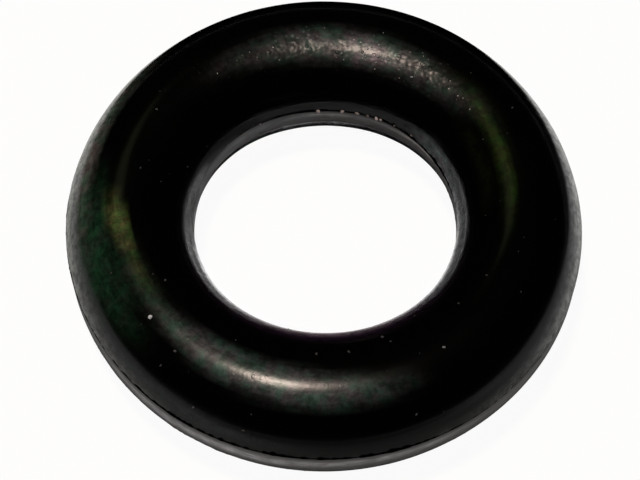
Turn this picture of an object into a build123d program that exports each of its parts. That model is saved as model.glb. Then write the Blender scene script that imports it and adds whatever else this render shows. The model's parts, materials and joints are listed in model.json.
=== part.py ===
from build123d import *
import math
import os

# A moulded rubber O-ring, lying on its side face. Sizes are in millimetres.
# +Z is the ring's axis, and the origin is the centre of the ring at mid thickness.

# The round section and the hole it is moulded around
inside_diameter = 7.0
section_diameter = 3.5

# The two mould halves meet at mid thickness, where a skin of flash squeezes out along
# the inner and the outer edge. Trimming it off leaves a narrow upright flat on each.
inner_land_height = 0.55
outer_land_height = 0.75

section_radius = section_diameter / 2
ring_radius = inside_diameter / 2 + section_radius


def land_reach(land_height):
    """Distance from the section's centre to a flat of this height cut into its round."""
    return math.sqrt(section_radius**2 - (land_height / 2) ** 2)


inner_reach = land_reach(inner_land_height)
outer_reach = land_reach(outer_land_height)


def ring_section():
    """The rubber's section to the right of the axis: a circle trimmed to the two lands."""
    trimmed_width = inner_reach + outer_reach
    trimmed_centre = ring_radius + (outer_reach - inner_reach) / 2
    with BuildSketch(Plane.XZ) as section:
        with Locations((ring_radius, 0)):
            Circle(section_radius)
        with Locations((trimmed_centre, 0)):
            Rectangle(trimmed_width, section_diameter, mode=Mode.INTERSECT)
    return section.sketch


def moulded_ring():
    """One full turn of the trimmed section about the ring's axis."""
    with BuildPart() as ring:
        add(ring_section())
        revolve(axis=Axis.Z, revolution_arc=360)
    return ring.part


os.makedirs("parts", exist_ok=True)
o_ring = moulded_ring()
export_step(o_ring, "parts/o_ring.step")

print(f"inner land radius {ring_radius - inner_reach:.4f} mm")
print(f"outer land radius {ring_radius + outer_reach:.4f} mm")
print(f"volume {o_ring.volume:.2f} mm3")
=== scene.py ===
# A moulded rubber O-ring lying on a white table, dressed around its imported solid.
# Sizes in the dictionaries are in millimetres and angles in degrees, unless a note says otherwise.
import json
import math
import random

import bmesh
import bpy
from mathutils import Matrix, Quaternion, Vector, noise


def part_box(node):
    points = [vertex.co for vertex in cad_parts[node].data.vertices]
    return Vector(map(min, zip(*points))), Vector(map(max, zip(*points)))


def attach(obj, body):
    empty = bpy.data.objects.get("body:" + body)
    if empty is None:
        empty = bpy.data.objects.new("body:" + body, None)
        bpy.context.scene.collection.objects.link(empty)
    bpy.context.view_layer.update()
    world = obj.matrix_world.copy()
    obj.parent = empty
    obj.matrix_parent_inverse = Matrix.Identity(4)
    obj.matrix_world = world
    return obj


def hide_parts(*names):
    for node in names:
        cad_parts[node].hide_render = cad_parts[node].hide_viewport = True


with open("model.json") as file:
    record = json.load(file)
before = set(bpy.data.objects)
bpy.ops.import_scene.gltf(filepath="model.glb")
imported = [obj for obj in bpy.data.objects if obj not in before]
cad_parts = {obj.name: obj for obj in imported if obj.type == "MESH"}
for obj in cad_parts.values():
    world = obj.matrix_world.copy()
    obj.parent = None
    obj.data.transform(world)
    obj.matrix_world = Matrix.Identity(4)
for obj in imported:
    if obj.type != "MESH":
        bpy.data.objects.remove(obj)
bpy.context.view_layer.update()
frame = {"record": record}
mm = 0.001
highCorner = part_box("o_ring")[1]
mountSizes = {mount["name"]: mount["dims"] for mount in frame["record"]["mounts"]}

# the round section, and the two flats that trimming the flash leaves on it
# (the frame's facets cut a little off the round, so the radius is rounded back)
sectionRadius = round(highCorner.z / mm, 2)


def readLand(mount, side):
    # side 1 is the outside of the ring, and side -1 is its hole
    dims = mountSizes[mount]
    return {"side": side, "radius": dims["r_mm"], "height": dims["length_mm"]}


outerLand = readLand("outer_land", 1)
innerLand = readLand("inner_land", -1)
ringRadius = outerLand["radius"] - math.sqrt(sectionRadius**2 - (outerLand["height"] / 2) ** 2)
print(f"frame loaded: section {2 * sectionRadius:.2f} mm, ring radius {ringRadius:.2f} mm")


# nodes

def addNode(tree, kind, inputs=None, **settings):
    node = tree.nodes.new(kind)
    for name, value in settings.items():
        setattr(node, name, value)
    for name, value in (inputs or {}).items():
        node.inputs[name].default_value = value
    return node


def startMaterial(name):
    material = bpy.data.materials.new(name)
    material.use_nodes = True
    tree = material.node_tree
    shader = tree.nodes["Principled BSDF"]
    place = addNode(tree, "ShaderNodeTexCoord")
    inMillimetres = addNode(tree, "ShaderNodeMapping", {"Scale": (1 / mm, 1 / mm, 1 / mm)})
    tree.links.new(place.outputs["Object"], inMillimetres.inputs["Vector"])
    return material, tree, shader, inMillimetres.outputs["Vector"]


# nearly all of a noise's values lie between these two
noiseReach = (0.3, 0.7)


def addNoise(tree, vector, size, detail=2.0, roughness=0.5):
    # size is the width of one blotch in millimetres
    node = addNode(tree, "ShaderNodeTexNoise", {"Scale": 1 / size, "Detail": detail, "Roughness": roughness})
    tree.links.new(vector, node.inputs["Vector"])
    return node.outputs["Fac"]


def addRange(tree, value, fromMin, fromMax, toMin, toMax, kind="SMOOTHSTEP"):
    node = addNode(tree, "ShaderNodeMapRange", interpolation_type=kind)
    tree.links.new(value, node.inputs["Value"])
    for name, amount in (("From Min", fromMin), ("From Max", fromMax), ("To Min", toMin), ("To Max", toMax)):
        if isinstance(amount, bpy.types.NodeSocket):
            tree.links.new(amount, node.inputs[name])
        else:
            node.inputs[name].default_value = amount
    return node.outputs["Result"]


def addMath(tree, operation, first, second=0):
    node = addNode(tree, "ShaderNodeMath", operation=operation)
    for socket, amount in zip(node.inputs, (first, second)):
        if isinstance(amount, bpy.types.NodeSocket):
            tree.links.new(amount, socket)
        else:
            socket.default_value = amount
    return node.outputs["Value"]


def addMix(tree, factor, first, second):
    node = addNode(tree, "ShaderNodeMix", data_type="RGBA")
    tree.links.new(factor, node.inputs["Factor"])
    for socket, colour in ((node.inputs["A"], first), (node.inputs["B"], second)):
        if isinstance(colour, bpy.types.NodeSocket):
            tree.links.new(colour, socket)
        else:
            socket.default_value = (*colour, 1)
    return node.outputs["Result"]


def addBump(tree, height, depth, normal=None):
    # depth is the height of a full bump in millimetres
    node = addNode(tree, "ShaderNodeBump", {"Distance": depth * mm, "Strength": 1})
    tree.links.new(height, node.inputs["Height"])
    if normal:
        tree.links.new(normal, node.inputs["Normal"])
    return node.outputs["Normal"]


# the rubber's moulded skin: nearly black, softly glossy, and shinier where it turns edge on.
# A spread gives a pattern's low and high value, and then the amounts that they stand for.

mouldedSkinLook = {
    "colour": (0.0005, 0.0005, 0.0005),
    "specular": 0.115,
    "roughness": (0.150, 0.185),
    "filmAndHighlightRoughness": 0.03,
    "scuffRoughness": 0.055,
    "glossSize": 1.4,
    "fullFilmAndHighlight": 0.05,
    "filmAndHighlightSize": 0.30,
    "filmAndHighlightStretch": 4,
    "filmAndHighlightSpread": (0.30, 0.64, 0.45, 1.30),
    "filmAndHighlightTints": ((0.74, 1.08, 0.97), (1.20, 0.92, 1.10)),
    "tintSize": 0.40,
    "tintSpread": (0.38, 0.62, 0, 1),
    "mottleSize": 0.26,
    "mottleSpread": (0.32, 0.68, 0.50, 1.50),
    "powderSize": 0.15,
    "powderLift": 1.2,
    "edgeSheen": 0.70,
    "edgeSheenReach": (0.38, 0.68),
    "edgeSheenSize": 0.20,
    "edgeSheenSpread": (0.36, 0.64, 0.20, 1.65),
    "edgeSheenRoughness": 0.2,
    "grainSize": 0.06,
    "grainDepth": 0.0007,
    "streakSize": 0.09,
    "streakStretch": 8,
    "streakDepth": 0.0007,
    "scuffSize": 0.21,
    "scuffDepth": 0.0120,
    "domeSize": 0.17,
    "domeDepth": 0.0070,
}


def addRingStreaks(tree, place, size, stretch):
    # the pattern changes quickly across the section and slowly along the ring, so it looks wiped on
    across = addNode(tree, "ShaderNodeSeparateXYZ")
    tree.links.new(place, across.inputs["Vector"])
    xSquare = addMath(tree, "MULTIPLY", across.outputs["X"], across.outputs["X"])
    ySquare = addMath(tree, "MULTIPLY", across.outputs["Y"], across.outputs["Y"])
    fromAxis = addMath(tree, "SQRT", addMath(tree, "ADD", xSquare, ySquare))
    stretched = addNode(tree, "ShaderNodeMapping", {"Scale": (1 / stretch, 1 / stretch, 1)})
    tree.links.new(place, stretched.inputs["Vector"])
    streaks = addNode(
        tree, "ShaderNodeTexNoise", {"Scale": 1 / size, "Detail": 4, "Roughness": 0.65},
        noise_dimensions="4D",
    )
    tree.links.new(stretched.outputs["Vector"], streaks.inputs["Vector"])
    tree.links.new(fromAxis, streaks.inputs["W"])
    return streaks.outputs["Fac"]


# the shares of a cell where a speck of powder starts to thin out and where it ends, and the share of
# cells that have no speck. The specks in the others are of uneven strength.
speckReach = (0.20, 0.38)
bareShare = 0.45


def addPowder(tree, place, size):
    # up to 1 on small round specks at random places, and 0 between them
    cells = addNode(tree, "ShaderNodeTexVoronoi", {"Scale": 1 / size})
    tree.links.new(place, cells.inputs["Vector"])
    dots = addRange(tree, cells.outputs["Distance"], *speckReach, 1, 0)
    chance = addNode(tree, "ShaderNodeSeparateColor")
    tree.links.new(cells.outputs["Color"], chance.inputs["Color"])
    chosen = addRange(tree, chance.outputs["Red"], bareShare, 1, 0, 1)
    return addMath(tree, "MULTIPLY", dots, chosen)


def addVector(tree, operation, first, second):
    node = addNode(tree, "ShaderNodeVectorMath", operation=operation)
    secondInput = node.inputs["Scale"] if operation == "SCALE" else node.inputs[1]
    for socket, amount in ((node.inputs[0], first), (secondInput, second)):
        if isinstance(amount, bpy.types.NodeSocket):
            tree.links.new(amount, socket)
        else:
            socket.default_value = amount
    return node.outputs["Vector"]


def makeMouldedSkin(look):
    material, tree, shader, place = startMaterial("mouldedSkin")
    link = tree.links.new
    filmAndHighlightPatch = addNode(tree, "ShaderNodeAttribute", attribute_name="filmAndHighlight")
    scuffPatch = addNode(tree, "ShaderNodeAttribute", attribute_name="scuff").outputs["Fac"]

    # film and painted highlight: partly a thin pale bloom that has come out of the rubber, half wiped off,
    # powdery where it is scuffed, and partly painted highlight halos and painted reflections of the lamps,
    # laid into the colour where the patches lie
    wiped = addRingStreaks(tree, place, look["filmAndHighlightSize"], look["filmAndHighlightStretch"])
    wiped = addRange(tree, wiped, *look["filmAndHighlightSpread"])
    mottled = addNoise(tree, place, look["mottleSize"], detail=4, roughness=0.75)
    mottled = addRange(tree, mottled, *look["mottleSpread"])
    powder = addMath(tree, "MULTIPLY", addPowder(tree, place, look["powderSize"]), look["powderLift"])
    powdered = addMath(tree, "ADD", addMath(tree, "MULTIPLY", powder, scuffPatch), mottled)
    amount = addMath(tree, "MULTIPLY", wiped, powdered)
    tint = addNoise(tree, place, look["tintSize"], detail=3, roughness=0.6)
    tint = addRange(tree, tint, *look["tintSpread"])
    tinted = addVector(tree, "MULTIPLY", filmAndHighlightPatch.outputs["Color"], addMix(tree, tint, *look["filmAndHighlightTints"]))
    filmAndHighlight = addVector(tree, "SCALE", tinted, amount)
    link(addVector(tree, "ADD", filmAndHighlight, look["colour"]), shader.inputs["Base Color"])

    # gloss: uneven, and duller under the patches of film and painted highlight and where it is scuffed
    gloss = addNoise(tree, place, look["glossSize"], detail=3)
    gloss = addRange(tree, gloss, *noiseReach, *look["roughness"])
    dulled = addRange(tree, filmAndHighlightPatch.outputs["Fac"], 0, look["fullFilmAndHighlight"], 0, look["filmAndHighlightRoughness"])
    scratched = addMath(tree, "MULTIPLY", scuffPatch, look["scuffRoughness"])
    link(addMath(tree, "ADD", gloss, addMath(tree, "ADD", dulled, scratched)), shader.inputs["Roughness"])

    # edge sheen: the skin shines more where it turns edge on, in uneven patches
    facing = addNode(tree, "ShaderNodeLayerWeight", {"Blend": 0.5}).outputs["Facing"]
    edgeSheen = addRange(tree, facing, *look["edgeSheenReach"], 0, look["edgeSheen"], "LINEAR")
    uneven = addNoise(tree, place, look["edgeSheenSize"], detail=4, roughness=0.75)
    uneven = addRange(tree, uneven, *look["edgeSheenSpread"])
    link(addMath(tree, "MULTIPLY", edgeSheen, uneven), shader.inputs["Coat Weight"])

    # bumps: a fine grain and wiped streaks everywhere, and pits and domes where the skin is scuffed
    grain = addNoise(tree, place, look["grainSize"], detail=2, roughness=0.6)
    grain = addBump(tree, grain, look["grainDepth"])
    streaks = addRingStreaks(tree, place, look["streakSize"], look["streakStretch"])
    streaked = addBump(tree, streaks, look["streakDepth"], grain)
    pits = addNoise(tree, place, look["scuffSize"], detail=1)
    pits = addMath(tree, "MULTIPLY", pits, scuffPatch)
    scuffed = addBump(tree, pits, look["scuffDepth"], streaked)
    domes = addMath(tree, "MULTIPLY", addPowder(tree, place, look["domeSize"]), scuffPatch)
    link(addBump(tree, domes, look["domeDepth"], scuffed), shader.inputs["Normal"])
    shader.inputs["Coat Roughness"].default_value = look["edgeSheenRoughness"]
    shader.inputs["Specular IOR Level"].default_value = look["specular"]
    return material


# the dull cut surface where the flash was trimmed: greyer, rougher and streaked along the cut

landLook = {
    "streakSize": 0.10,
    "streakStretch": 5,
    "streakReach": (0.32, 0.68),
    "blotchSize": 0.5,
    "leastWorn": 0.15,
    "grainSize": 0.05,
}
outerLandLook = {
    **landLook,
    "colour": (0.055, 0.060, 0.068),
    "paleColour": (0.150, 0.172, 0.198),
    "specular": 0.40,
    "roughness": (0.36, 0.50),
    "paleMiddle": 0.02,
    "paleReach": (0.02, 0.40),
    "grainDepth": 0.0025,
}
# the flat in the hole is the same cut rubber as the outer one, painted darker as painted shade inside the
# hole
innerLandLook = {
    **landLook,
    "colour": (0.020, 0.020, 0.022),
    "paleColour": (0.080, 0.093, 0.106),
    "specular": 0.27,
    "roughness": (0.42, 0.56),
    "paleMiddle": -0.05,
    "paleReach": (0.08, 0.34),
    "grainDepth": 0.0020,
}
# the upper strip of each torn lip, from its tip to its foot: near black and without gloss, painted shade in
# the crease of the seam
tornSeamShadeLook = {
    "colour": (0.0008, 0.0008, 0.0010),
    "specular": 0.0,
    "roughness": 0.7,
}


def makeTrimmedLand(name, look):
    material, tree, shader, place = startMaterial(name)
    link = tree.links.new
    streaks = addRingStreaks(tree, place, look["streakSize"], look["streakStretch"])
    streaks = addRange(tree, streaks, *look["streakReach"], 0, 1)
    blotch = addNoise(tree, place, look["blotchSize"], detail=4, roughness=0.6)
    blotch = addRange(tree, blotch, *noiseReach, 0, 1)
    wornAndLit = addMath(tree, "MULTIPLY", addMath(tree, "ADD", streaks, blotch), 0.5)  # their average

    # palest along a line at one height, and dark towards both torn edges: a painted reflection along the
    # line and painted shade towards the edges
    heightOf = addNode(tree, "ShaderNodeSeparateXYZ")
    link(place, heightOf.inputs["Vector"])
    offLine = addMath(tree, "SUBTRACT", heightOf.outputs["Z"], look["paleMiddle"])
    pale = addRange(tree, addMath(tree, "ABSOLUTE", offLine), *look["paleReach"], 1, 0)
    wornAndLit = addMath(tree, "MULTIPLY", addMath(tree, "ADD", wornAndLit, look["leastWorn"]), pale)
    rubbedAndLit = addMix(tree, wornAndLit, look["colour"], look["paleColour"])
    # on a flat the film patches are painted reflection of the white table, laid in the rubbed pattern
    filmAndHighlight = addNode(tree, "ShaderNodeAttribute", attribute_name="filmAndHighlight").outputs["Color"]
    link(addVector(tree, "ADD", rubbedAndLit, addVector(tree, "SCALE", filmAndHighlight, wornAndLit)), shader.inputs["Base Color"])
    link(addRange(tree, blotch, 0, 1, *look["roughness"]), shader.inputs["Roughness"])
    grain = addBump(tree, addNoise(tree, place, look["grainSize"], detail=3), look["grainDepth"])
    link(addBump(tree, streaks, look["grainDepth"], grain), shader.inputs["Normal"])
    shader.inputs["Specular IOR Level"].default_value = look["specular"]
    return material


def makeTornSeamShade(look):
    material, _, shader, _ = startMaterial("tornSeamShade")
    shader.inputs["Base Color"].default_value = (*look["colour"], 1)
    shader.inputs["Roughness"].default_value = look["roughness"]
    shader.inputs["Specular IOR Level"].default_value = look["specular"]
    return material


# the ring. A bearing goes round the ring from +X towards +Y, and a height goes round the section,
# from 0 at the outer edge over 90 at the top to 180 at the inner edge. Patches are laid out by both.
# The seams are listed by the side of their land.

oRing = {
    "arcPoints": 23,
    "turnSteps": 1440,
    "landRows": (0.8, 0.3),  # shares of a land's half height where its faces meet
    "weldDistance": 0.00001,
    "waveLength": 1.7,
    "waveHeight": 0.004,
    "seams": {
        1: {"bearing": 240, "length": 72, "drops": [{"bearing": 230, "length": 75, "depth": -0.035}]},
        -1: {
            "bearing": 66, "length": 76,
            "drops": [
                {"bearing": 24, "length": 44, "depth": 0.25},
                {"bearing": 86, "length": 50, "depth": 0.05},
            ],
        },
    },
    "seamHeight": 0.085,
    "lipReach": 0.018,
    # how far a seam stays open where it is nearly shut
    "leastOpen": 0.10,
    # a torn edge wanders in short tears and long stretches. The tip's and the foot's middle, least,
    # tear and stretch are shares of the lip's reach and of the seam's height.
    "tearLength": 0.13,
    "stretchLength": 0.8,
    "tipWander": 0.010,
    "tipMiddle": 0.6,
    "footMiddle": 0.9,
    "footLeast": 0.4,
    "footTear": 0.9,
    "footStretch": 0.7,
    # the foot follows its land by this share where the land drops, and wholly where it rises
    "footDrop": 0.7,
    "trims": [{"bearing": 215, "length": 20, "depth": 0.020}],
    "holeShape": {
        "grown": 0.019,
        "waves": [(1, 0.039, 3), (2, 0.047, 5), (3, 0.010, 30), (4, 0.014, 45)],
    },
    "outsideShape": {
        "grown": -0.006,
        "waves": [(1, 0.020, 260), (2, 0.019, 95), (3, 0.004, 90), (4, 0.007, -9)],
    },
    # the film patches are mostly painted light: painted halos round the highlights, painted reflections of
    # the back lamp and painted sheen near the edges on the skin, and painted reflection of the white table
    # on the flats (the last five)
    "filmAndHighlightPatches": [
        {
            "bearing": 257, "height": 79, "length": 44, "width": 21, "lean": -0.20,
            "colour": (0.048, 0.069, 0.066),
        },
        {"bearing": 230, "height": 82, "length": 22, "width": 11, "colour": (0.022, 0.032, 0.028)},
        {"bearing": 208, "height": 86, "length": 24, "width": 14, "colour": (0.009, 0.016, 0.010)},
        {"bearing": 204, "height": 89, "length": 13, "width": 6, "colour": (0.012, 0.020, 0.003)},
        {
            "bearing": 190, "height": 83, "length": 14, "width": 11, "lean": 0.40,
            "colour": (0.054, 0.072, 0.021),
        },
        {"bearing": 165, "height": 46, "length": 36, "width": 16, "colour": (0.050, 0.060, 0.053)},
        {"bearing": 225, "height": 26, "length": 50, "width": 14, "colour": (0.010, 0.013, 0.014)},
        {"bearing": 196, "height": 56, "length": 34, "width": 32, "colour": (0.008, 0.023, 0.013)},
        {
            "bearing": 81, "height": 107, "length": 56, "width": 23, "lean": -0.11,
            "colour": (0.038, 0.051, 0.049),
        },
        {"bearing": 75, "height": 109, "length": 13, "width": 18, "colour": (0.070, 0.070, 0.078)},
        {"bearing": 36, "height": 99, "length": 24, "width": 14, "colour": (0.005, 0.008, 0.004)},
        {"bearing": 14, "height": 103, "length": 34, "width": 9, "colour": (0.010, 0.021, 0.003)},
        {"bearing": 14, "height": 125, "length": 24, "width": 12, "colour": (0.002, 0.003, 0.001)},
        {"bearing": 31, "height": 164, "length": 26, "width": 11, "colour": (0.050, 0.066, 0.074)},
        {"bearing": 246, "height": 1, "length": 38, "width": 14, "colour": (0.58, 0.66, 0.80)},
        {"bearing": 284, "height": 3, "length": 26, "width": 9, "colour": (0.36, 0.43, 0.50)},
        {"bearing": 40, "height": 180, "length": 30, "width": 9, "colour": (0.50, 0.54, 0.60)},
        {"bearing": 84, "height": 180, "length": 34, "width": 9, "colour": (0.29, 0.32, 0.36)},
        {"bearing": 132, "height": 180, "length": 22, "width": 9, "colour": (0.12, 0.13, 0.15)},
    ],
    "scuffPatches": [
        {"bearing": 80, "height": 112, "length": 95, "width": 60, "amount": 1.0},
        {"bearing": 58, "height": 110, "length": 17, "width": 30, "amount": 0.9},
        {"bearing": 98, "height": 106, "length": 17, "width": 30, "amount": 0.9},
        {"bearing": 250, "height": 78, "length": 60, "width": 60, "amount": 0.22},
    ],
}
skinPart, footPart, tipPart, landPart = 0, 1, 2, 3


def makeProfile(bm, sizes):
    # the section as a closed loop. Each point is marked as skin, land, the tip of a torn lip beside a land,
    # or the foot where the lip's seam, painted dark as shade, ends on the skin.
    def pointsOver(land):
        tip = land["height"] / 2
        foot = tip + sizes["seamHeight"]
        aside = math.sqrt(sectionRadius**2 - foot**2)
        return [
            (ringRadius + land["side"] * aside, foot, footPart),
            (land["radius"], tip, tipPart),
            *((land["radius"], row * tip, landPart) for row in sizes["landRows"]),
        ]

    outerPoints = pointsOver(outerLand)
    innerPoints = pointsOver(innerLand)
    start = math.atan2(outerPoints[0][1], outerPoints[0][0] - ringRadius)
    end = math.atan2(innerPoints[0][1], innerPoints[0][0] - ringRadius)
    arc = []
    for step in range(1, sizes["arcPoints"]):
        angle = start + (end - start) * step / sizes["arcPoints"]
        x = ringRadius + sectionRadius * math.cos(angle)
        arc.append((x, sectionRadius * math.sin(angle), skinPart))
    upper = outerPoints[::-1] + arc + innerPoints
    lower = [(x, -z, part) for x, z, part in reversed(upper)]
    partOf = bm.verts.layers.int.new("part")
    verts = []
    for x, z, part in upper + lower:
        vert = bm.verts.new((x, 0, z))
        vert[partOf] = part
        verts.append(vert)
    for first, second in zip(verts, verts[1:] + verts[:1]):
        bm.edges.new((first, second))


def coverBy(patch, bearing, height):
    # how fully a patch covers a spot: 1 in its middle, fading smoothly to 0 at its rim. A patch that
    # leans goes up or down the section along its length.
    away = (bearing - patch["bearing"] + 180) % 360 - 180
    along = away / patch["length"]
    across = (height - patch["height"] - away * patch.get("lean", 0)) / patch["width"]
    return max(0, 1 - along**2 - across**2) ** 2


def paintPatches(bm, sizes):
    filmAndHighlight = bm.verts.layers.float_color.new("filmAndHighlight")
    scuff = bm.verts.layers.float.new("scuff")
    for v in bm.verts:
        bearing = math.degrees(math.atan2(v.co.y, v.co.x))
        height = math.degrees(math.atan2(v.co.z, math.hypot(v.co.x, v.co.y) - ringRadius))
        colour = Vector((0, 0, 0))
        for patch in sizes["filmAndHighlightPatches"]:
            colour += Vector(patch["colour"]) * coverBy(patch, bearing, height)
        v[filmAndHighlight] = (*colour, 1)
        v[scuff] = sum(patch["amount"] * coverBy(patch, bearing, height) for patch in sizes["scuffPatches"])


def waveSkin(bm, sizes, partOf):
    # the mould leaves the skin a little uneven, which bends its highlights
    for v in bm.verts:
        if v[partOf] == skinPart:
            centre = Vector((v.co.x, v.co.y, 0)).normalized() * ringRadius
            wave = noise.fractal(v.co / sizes["waveLength"], 1.0, 2.0, 3)  # falloff, step and octaves
            v.co += (v.co - centre).normalized() * (wave * sizes["waveHeight"])


def depthOf(patches, bearing):
    return sum(patch["depth"] * coverBy({**patch, "height": 0, "width": 1}, bearing, 0) for patch in patches)


def tearLips(bm, sizes, partOf):
    # the flash tore off along both edges of a land: along one stretch of the ring the lip there is
    # ragged, and its seam runs up the skin to a ragged height. Elsewhere the seam is nearly shut.
    # Where a land drops, its upper edge broke off lower down, or higher up if the depth is below 0.
    for v in bm.verts:
        if v[partOf] == skinPart:
            continue
        outward = Vector((v.co.x, v.co.y, 0)).normalized()
        bearing = math.degrees(math.atan2(v.co.y, v.co.x))
        side = 1 if math.hypot(v.co.x, v.co.y) > ringRadius else -1
        upward = 1 if v.co.z > 0 else -1
        land = outerLand if side > 0 else innerLand
        seam = sizes["seams"][side]
        drop = depthOf(seam["drops"], bearing)
        if v[partOf] == landPart:
            if upward > 0:
                v.co.z *= 1 - 2 * drop / land["height"]
            continue
        # each of the four edges reads the noise at a height of its own, so that no two tear alike
        place = outward * (ringRadius + side * sectionRadius) + Vector((0, 0, 30 * side + 60 * upward))
        tear = noise.noise(place / sizes["tearLength"])
        stretch = noise.noise(place / sizes["stretchLength"])
        away = (bearing - seam["bearing"] + 180) % 360 - 180
        opened = max(sizes["leastOpen"], 1 - (away / seam["length"]) ** 4)
        if v[partOf] == tipPart:
            v.co.z += sizes["tipWander"] * opened * (tear + stretch) - (drop if upward > 0 else 0)
            tipReach = max(0, sizes["tipMiddle"] + tear + stretch)
            v.co += outward * (side * opened * sizes["lipReach"] * tipReach)
        else:
            footReach = sizes["footMiddle"] + sizes["footTear"] * tear + sizes["footStretch"] * stretch
            v.co.z += upward * sizes["seamHeight"] * (opened * max(sizes["footLeast"], footReach) - 1)
            v.co.z -= min(drop, sizes["footDrop"] * drop) if upward > 0 else 0
            reach = ringRadius + side * math.sqrt(sectionRadius**2 - v.co.z**2)
            v.co.x, v.co.y = outward.x * reach, outward.y * reach


def trimDeeper(bm, sizes):
    # the knife went a little deeper into the outer edge here and there
    for v in bm.verts:
        fromAxis = math.hypot(v.co.x, v.co.y)
        depth = depthOf(sizes["trims"], math.degrees(math.atan2(v.co.y, v.co.x)))
        if depth and fromAxis > outerLand["radius"] - depth:
            inward = (outerLand["radius"] - depth) / fromAxis
            v.co.x, v.co.y = v.co.x * inward, v.co.y * inward


def bendBy(shape, outward):
    # each wave has its number of humps around the ring, its height and the bearing of one hump
    bearing = math.atan2(outward.y, outward.x)
    waves = [
        height * math.cos(humps * (bearing - math.radians(start)))
        for humps, height, start in shape["waves"]
    ]
    return shape["grown"] + sum(waves)


def outOfRound(place, sizes):
    # a ring this soft never lies quite round: its hole and its outside each wander in and out a little
    fromAxis = math.hypot(place.x, place.y)
    inward = min(1, max(0, (ringRadius + sectionRadius - fromAxis) / (2 * sectionRadius)))
    outward = Vector((place.x, place.y, 0)) / fromAxis
    atHole = bendBy(sizes["holeShape"], outward)
    atOutside = bendBy(sizes["outsideShape"], outward)
    return place + outward * (inward * atHole + (1 - inward) * atOutside)


def makeRing(sizes, materials):
    bm = bmesh.new()
    makeProfile(bm, sizes)
    bmesh.ops.spin(
        bm, geom=bm.verts[:] + bm.edges[:], cent=(0, 0, 0), axis=(0, 0, 1), dvec=(0, 0, 0),
        angle=math.radians(360), steps=sizes["turnSteps"], use_merge=True, use_duplicate=False,
    )
    bmesh.ops.remove_doubles(bm, verts=bm.verts, dist=sizes["weldDistance"])
    bmesh.ops.recalc_face_normals(bm, faces=bm.faces)
    partOf = bm.verts.layers.int["part"]

    # the materials in order: skin, outer land, inner land, and the torn seam's painted shade
    for face in bm.faces:
        face.smooth = True
        parts = {v[partOf] for v in face.verts}
        middle = face.calc_center_median()
        if parts == {footPart, tipPart} and middle.z > 0:
            face.material_index = 3
        elif parts <= {footPart, tipPart, landPart}:
            face.material_index = 1 if math.hypot(middle.x, middle.y) > ringRadius else 2
    for edge in bm.edges:
        edge.smooth = not all(v[partOf] == tipPart for v in edge.verts)

    paintPatches(bm, sizes)
    waveSkin(bm, sizes, partOf)
    tearLips(bm, sizes, partOf)
    trimDeeper(bm, sizes)
    for v in bm.verts:
        v.co = outOfRound(v.co, sizes)
    bm.verts.layers.int.remove(partOf)
    bmesh.ops.scale(bm, vec=(mm, mm, mm), verts=bm.verts)
    mesh = bpy.data.meshes.new("moulded_ring")
    bm.to_mesh(mesh)
    bm.free()
    for material in materials:
        mesh.materials.append(material)
    ring = bpy.data.objects.new("moulded_ring", mesh)
    bpy.context.scene.collection.objects.link(ring)
    return ring


ringMaterials = [
    makeMouldedSkin(mouldedSkinLook),
    makeTrimmedLand("outerTrim", outerLandLook),
    makeTrimmedLand("innerTrim", innerLandLook),
    makeTornSeamShade(tornSeamShadeLook),
]
mouldedRing = makeRing(oRing, ringMaterials)
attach(mouldedRing, "root")
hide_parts("o_ring")
print(f"ring made: {len(mouldedRing.data.polygons)} faces")


# dust on the skin, with pale grains as painted glints in the far highlight, and crumbs of flash left in the
# torn edge of the inner flat, coloured pale as painted glints. Each grain has a bearing, a height, a width
# and a paleness.

grainForm = {
    "squashes": ((0.6, 0.9), (0.5, 0.8)),
    "lumpHeight": 0.5,
    "lumpLength": 0.6,
    "blotchSize": 0.03,
    "blotchShades": (0.7, 1),
    "blotchDepth": 0.005,
}
dust_and_glints = {
    "colour": (0.54, 0.61, 0.69),
    "roughness": 0.85,
    "grains": [
        (220, 74, 0.13, 1.0), (304, 85, 0.10, 0.32), (290, 120, 0.09, 0.07), (330, 105, 0.08, 0.04),
        (317, 109, 0.08, 0.05), (278, 110, 0.09, 0.05), (268, 109, 0.09, 0.05), (291, 44, 0.08, 0.06),
        (213, 104, 0.08, 0.06), (230, 51, 0.08, 0.05), (231, 68, 0.08, 0.10), (241, 35, 0.09, 0.14),
        (253, 33, 0.09, 0.06), (28, 74, 0.08, 0.06), (151, 92, 0.09, 0.07), (172, 101, 0.08, 0.04),
    ],
    "scattered": [
        {
            "count": 40, "bearing": 0, "height": 90, "length": 100, "width": 38,
            "size": (0.03, 0.06), "pale": 0.04,
        },
        # these two groups in the far highlight are painted glints: pale grains that stand for the
        # highlight's sparkle
        {
            "count": 14, "bearing": 77, "height": 111, "length": 11, "width": 4,
            "size": (0.05, 0.08), "pale": 0.45,
        },
        {
            "count": 20, "bearing": 80, "height": 108, "length": 20, "width": 6,
            "size": (0.03, 0.06), "pale": 0.20,
        },
    ],
    "seed": 7,
}
crumbs = {
    # pale: painted glints where the lamp catches the torn crumbs
    "colour": (0.60, 0.53, 0.55),
    "roughness": 0.5,
    "grains": [
        (93, 172, 0.13, 0.6), (82, 172, 0.14, 0.8), (75, 171, 0.12, 0.4), (70, 171, 0.09, 0.2),
        (66, 171, 0.12, 0.8), (64, 171, 0.09, 0.6), (57, 171, 0.08, 0.2), (121, 171, 0.08, 0.25),
        (48, 171, 0.08, 0.2),
    ],
    "scattered": [],
    "seed": 19,
}


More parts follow.
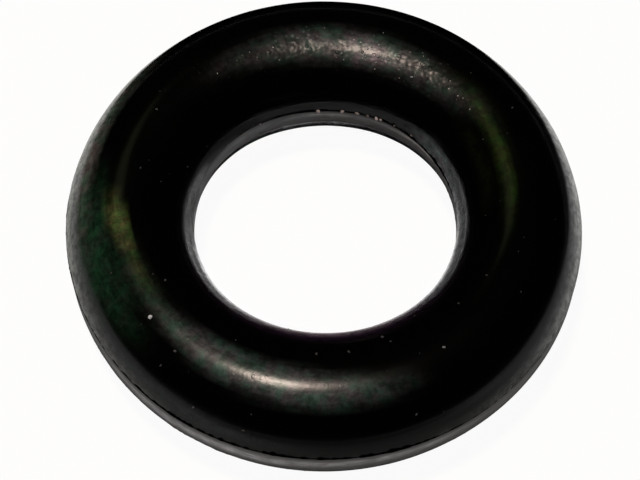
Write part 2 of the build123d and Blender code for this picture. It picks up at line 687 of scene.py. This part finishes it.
def makeGrainMaterial(name, look):
    material, tree, shader, place = startMaterial(name)
    blotch = addNoise(tree, place, grainForm["blotchSize"])
    pale = addNode(tree, "ShaderNodeAttribute", attribute_name="pale").outputs["Fac"]
    blotchShade = addRange(tree, blotch, *noiseReach, *grainForm["blotchShades"])
    shade = addMath(tree, "MULTIPLY", pale, blotchShade)
    tree.links.new(addVector(tree, "SCALE", look["colour"], shade), shader.inputs["Base Color"])
    tree.links.new(addBump(tree, blotch, grainForm["blotchDepth"]), shader.inputs["Normal"])
    shader.inputs["Roughness"].default_value = look["roughness"]
    return material


def addGrain(bm, bearing, height, width, pale, picker):
    paleness = bm.verts.layers.float["pale"]
    bearing = math.radians(bearing)
    height = math.radians(height)
    reach = ringRadius + sectionRadius * math.cos(height)
    place = Vector((reach * math.cos(bearing), reach * math.sin(bearing), sectionRadius * math.sin(height)))
    place = outOfRound(place, oRing)
    made = bmesh.ops.create_icosphere(bm, subdivisions=2, radius=width / 2)
    axis = [picker.uniform(-1, 1) for _ in range(3)]
    turn = Quaternion(axis, picker.uniform(0, 6))
    squashed = (1, *(picker.uniform(*squash) for squash in grainForm["squashes"]))
    bmesh.ops.scale(bm, verts=made["verts"], vec=squashed)
    offset = Vector((picker.uniform(0, 90), 0, 0))
    for v in made["verts"]:
        lump = noise.noise(v.co / (width * grainForm["lumpLength"]) + offset)
        v.co *= 1 + grainForm["lumpHeight"] * lump
        v[paleness] = pale
    bmesh.ops.rotate(bm, verts=made["verts"], matrix=turn.normalized().to_matrix())
    bmesh.ops.translate(bm, verts=made["verts"], vec=place)


def makeGrains(name, look, material):
    picker = random.Random(look["seed"])
    bm = bmesh.new()
    bm.verts.layers.float.new("pale")
    for bearing, height, width, pale in look["grains"]:
        addGrain(bm, bearing, height, width, pale, picker)
    for patch in look["scattered"]:
        for _ in range(patch["count"]):
            bearing = picker.gauss(patch["bearing"], patch["length"])
            height = picker.gauss(patch["height"], patch["width"])
            addGrain(bm, bearing, height, picker.uniform(*patch["size"]), patch["pale"], picker)
    bmesh.ops.recalc_face_normals(bm, faces=bm.faces)
    bmesh.ops.scale(bm, vec=(mm, mm, mm), verts=bm.verts)
    mesh = bpy.data.meshes.new(name)
    bm.to_mesh(mesh)
    bm.free()
    mesh.materials.append(material)
    grains = bpy.data.objects.new(name, mesh)
    bpy.context.scene.collection.objects.link(grains)
    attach(grains, "root")


makeGrains("dust_and_glints_grains", dust_and_glints, makeGrainMaterial("paleDustAndGlints", dust_and_glints))
makeGrains("flash_crumbs", crumbs, makeGrainMaterial("tornFlashGlint", crumbs))
print("dust and crumbs made")


# the table

table = {
    "halfWidth": 1500,
    "colour": (0.93, 0.93, 0.93),
    "whiteShare": 0.95,
}


# cards that only reflections see, so that the white table shines less in some sides of the rubber: painted
# shade, standing for the ring's own shadow on the table under, around and inside it, and for a dimmer table
# further off.
# They are black behind the ring and under it, and grey close around it, in front, on the left and in
# the hole, where one leans with its face to the front and is darker at its head. The lamp above is
# warm, so the grey cards are a little blue. The last number of a middle is the height over the table.
# A card thins out towards its rim over the share of its half width that is its fade. A hole gives the
# distances from the middle where the card starts to show and where it shows fully.
flatCard = {"tilt": 0, "corners": 48, "fade": 0.7, "hole": None}
cards = {
    "backCard": {
        **flatCard, "middle": (0, 207.8, 0.05), "halfWidth": 200, "corners": 4, "fade": 0,
        "colour": (0, 0, 0),
    },
    "frontCard": {
        **flatCard, "middle": (3, -60, 0.02), "halfWidth": 48, "corners": 64, "fade": 0.25,
        "colour": (0.36, 0.42, 0.47),
    },
    "leftCard": {
        **flatCard, "middle": (-24, 14, 0.03), "halfWidth": 18, "corners": 64,
        "colour": (0.34, 0.38, 0.40),
    },
    "besideCard": {
        **flatCard, "middle": (5.0, -12.5, 0.035), "halfWidth": 12,
        "colour": (0.60, 0.73, 0.84),
    },
    "wideCard": {
        **flatCard, "middle": (-1.5, 0, 0.038), "halfWidth": 16, "corners": 96, "fade": 0.6,
        "hole": (6.3, 7.0), "colour": (0.74, 0.90, 0.99),
    },
    "aroundCard": {
        **flatCard, "middle": (0, -0.5, 0.04), "halfWidth": 9.6, "corners": 96, "fade": 0.25,
        "hole": (6.3, 7.0), "colour": (0.26, 0.32, 0.36),
    },
    "underCard": {
        **flatCard, "middle": (0, 0, 0.05), "halfWidth": 7.4, "corners": 96, "fade": 0.05,
        "hole": (5.2, 5.3), "colour": (0.02, 0.02, 0.02), "headColour": (0.02, 0.02, 0.03),
    },
    "holeRimCard": {
        **flatCard, "middle": (0, 0, 0.06), "halfWidth": 5.2, "corners": 96, "fade": 0.05,
        "hole": (3.3, 3.6), "colour": (0.09, 0.10, 0.15),
    },
    "lowRightCard": {
        **flatCard, "middle": (6.7, -4.4, 0.07), "halfWidth": 2.2,
        "colour": (0.33, 0.40, 0.44),
    },
    "holeCard": {
        **flatCard, "middle": (0.15, -0.6, 1.55), "tilt": 50, "halfWidth": 3.0,
        "colour": (0.60, 0.55, 0.70), "headColour": (0.07, 0.04, 0.10),
    },
    "holeLeftCard": {
        **flatCard, "middle": (-1.8, 1.3, 0.03), "halfWidth": 1.5,
        "colour": (0.33, 0.40, 0.46),
    },
    "holeRightCard": {
        **flatCard, "middle": (1.6, 1.6, 0.035), "halfWidth": 2.2, "fade": 0.5,
        "colour": (0.30, 0.37, 0.44),
    },
}


def makeTable(look):
    bm = bmesh.new()
    bmesh.ops.create_grid(bm, x_segments=1, y_segments=1, size=look["halfWidth"] * mm)
    bmesh.ops.translate(bm, verts=bm.verts, vec=(0, 0, -sectionRadius * mm))
    mesh = bpy.data.meshes.new("table_top")
    bm.to_mesh(mesh)
    bm.free()

    # the table shows plain white, with a share of its real shading left so that the ring keeps its shadow
    material = bpy.data.materials.new("whiteTable")
    material.use_nodes = True
    tree = material.node_tree
    tree.nodes.clear()
    paint = addNode(tree, "ShaderNodeBsdfDiffuse", {"Color": (*look["colour"], 1)})
    white = addNode(tree, "ShaderNodeEmission", {"Color": (1, 1, 1, 1), "Strength": 1})
    ray = addNode(tree, "ShaderNodeLightPath")
    seen = addMath(tree, "MAXIMUM", ray.outputs["Is Camera Ray"], ray.outputs["Is Glossy Ray"])
    seen = addMath(tree, "MAXIMUM", seen, ray.outputs["Is Transmission Ray"])
    share = addMath(tree, "MULTIPLY", seen, look["whiteShare"])
    blend = addNode(tree, "ShaderNodeMixShader")
    output = addNode(tree, "ShaderNodeOutputMaterial")
    tree.links.new(share, blend.inputs["Fac"])
    tree.links.new(paint.outputs["BSDF"], blend.inputs[1])
    tree.links.new(white.outputs["Emission"], blend.inputs[2])
    tree.links.new(blend.outputs["Shader"], output.inputs["Surface"])
    mesh.materials.append(material)
    top = bpy.data.objects.new("table_top", mesh)
    bpy.context.scene.collection.objects.link(top)
    return top


# a card changes to its head colour between these two shares of its half width up from its middle
cardRise = (-0.75, 0.1)


def makeCard(name, look):
    bm = bmesh.new()
    turn = Matrix.Rotation(math.radians(180 / look["corners"]), 3, "Z")
    radius = look["halfWidth"] / math.cos(math.radians(180 / look["corners"])) * mm
    bmesh.ops.create_circle(bm, cap_ends=True, segments=look["corners"], radius=radius)
    bmesh.ops.rotate(bm, verts=bm.verts, matrix=turn)
    mesh = bpy.data.meshes.new(name)
    bm.to_mesh(mesh)
    bm.free()
    material, tree, shader, place = startMaterial(name)
    shader.inputs["Specular IOR Level"].default_value = 0
    upCard = addNode(tree, "ShaderNodeSeparateXYZ")
    tree.links.new(place, upCard.inputs["Vector"])
    foot, head = (share * look["halfWidth"] for share in cardRise)
    rise = addRange(tree, upCard.outputs["Y"], foot, head, 0, 1, "LINEAR")
    headColour = look.get("headColour", look["colour"])
    tree.links.new(addMix(tree, rise, look["colour"], headColour), shader.inputs["Base Color"])

    # the card shows on its face only
    shown = addMath(tree, "SUBTRACT", 1, addNode(tree, "ShaderNodeNewGeometry").outputs["Backfacing"])
    fromMiddle = addNode(tree, "ShaderNodeVectorMath", operation="LENGTH")
    tree.links.new(place, fromMiddle.inputs[0])
    if look["fade"]:
        rim = look["halfWidth"]
        faded = addRange(tree, fromMiddle.outputs["Value"], rim * (1 - look["fade"]), rim, 1, 0)
        shown = addMath(tree, "MULTIPLY", shown, faded)
    if look["hole"]:
        outsideHole = addRange(tree, fromMiddle.outputs["Value"], *look["hole"], 0, 1)
        shown = addMath(tree, "MULTIPLY", shown, outsideHole)
    tree.links.new(shown, shader.inputs["Alpha"])
    mesh.materials.append(material)
    card = bpy.data.objects.new(name, mesh)
    card.location = (Vector(look["middle"]) - Vector((0, 0, sectionRadius))) * mm
    card.rotation_euler.x = math.radians(look["tilt"])
    bpy.context.scene.collection.objects.link(card)
    card.visible_camera = False
    card.visible_shadow = False
    card.visible_diffuse = False
    return card


makeTable(table)
for name, look in cards.items():
    makeCard(name, look)


# lights: each shines on the ring from a bearing and a height, and its level is the share of white it gives

lights = {
    "overheadLamp": {
        "bearing": 168.5, "height": 83.5, "distance": 150, "width": 18, "length": 18,
        "colour": (1.0, 0.81, 0.69), "level": 0.88, "shape": "DISK",
    },
    "backLeftLamp": {
        "bearing": 122, "height": 55, "distance": 150, "width": 40, "length": 30,
        "colour": (0.95, 1.0, 0.60), "level": 0.012, "shape": "RECTANGLE",
    },
}


def addLight(name, look):
    bearing = math.radians(look["bearing"])
    height = math.radians(look["height"])
    distance = look["distance"] * mm
    flat = math.cos(height)
    towards = Vector((math.cos(bearing) * flat, math.sin(bearing) * flat, math.sin(height)))
    lamp = bpy.data.lights.new(name, "AREA")
    lamp.shape = look["shape"]
    lamp.size = look["width"] * mm
    lamp.size_y = look["length"] * mm
    lamp.color = look["colour"]
    # the power that lights a white sheet facing this lamp to its level
    lamp.energy = look["level"] * (math.pi * distance) ** 2
    thing = bpy.data.objects.new(name, lamp)
    thing.location = towards * distance
    thing.rotation_mode = "QUATERNION"
    thing.rotation_quaternion = (-towards).to_track_quat("-Z", "Y")
    bpy.context.scene.collection.objects.link(thing)


for name, look in lights.items():
    addLight(name, look)

roomLevel = 0.004
world = bpy.data.worlds.new("darkRoom")
world.use_nodes = True
world.node_tree.nodes["Background"].inputs["Color"].default_value = (roomLevel, roomLevel, roomLevel, 1)
bpy.context.scene.world = world
print("table and lights made")


# the camera looks down at the ring from the front

camera = {
    "place": (0, -23.46, 42.23),
    "aim": (-0.105, -0.388, -0.216),
    "roll": 0.2,
    "lens": 100.05,
    "sensor": 36,
    "clip": (1, 5000),
}


def addCamera(look):
    data = bpy.data.cameras.new("camera")
    data.lens = look["lens"]
    data.sensor_width = look["sensor"]
    data.clip_start, data.clip_end = (reach * mm for reach in look["clip"])
    thing = bpy.data.objects.new("camera", data)
    place = Vector(look["place"]) * mm
    aim = Vector(look["aim"]) * mm
    thing.location = place
    thing.rotation_mode = "QUATERNION"
    level = (aim - place).to_track_quat("-Z", "Y")
    thing.rotation_quaternion = level @ Quaternion((0, 0, 1), math.radians(look["roll"]))
    bpy.context.scene.collection.objects.link(thing)
    return thing


bpy.context.scene.camera = addCamera(camera)
bpy.context.scene.view_settings.view_transform = "Standard"
